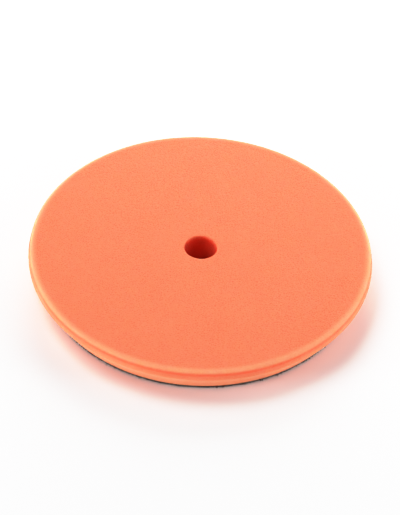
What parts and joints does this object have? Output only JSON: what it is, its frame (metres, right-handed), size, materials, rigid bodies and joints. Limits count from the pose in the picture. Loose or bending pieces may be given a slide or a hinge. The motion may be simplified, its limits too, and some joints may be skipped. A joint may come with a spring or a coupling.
{
  "type": "foam polishing pad",
  "caption": "Round foam polishing pad for a machine polisher: flat working face, hollowed side lip, tapered underside, hook-and-loop backing and a centring hole.",
  "frame": {"origin": "centre of the loop face, on the axis of the centring hole, where the pad rests when it lies face up", "axes": "+Z along the pad's axis, from the loop face towards the working face; X and Y are free, because the pad is round"},
  "size_m": [0.155, 0.155, 0.016],
  "materials": {
    "foam": "open-cell polyurethane foam, matt, soft and slightly translucent at thin edges",
    "adhesive": "thin hot-melt adhesive film, satin, tinted by the foam",
    "backing_cloth": "warp-knitted polyamide ground cloth, matt",
    "loop_pile": "brushed polyamide loops, soft sheen"
  },
  "bodies": {
    "root": {"foam_disc": "foam", "adhesive_film": "adhesive", "ground_cloth": "backing_cloth", "loop_pile": "loop_pile"}
  },
  "joints": []
}
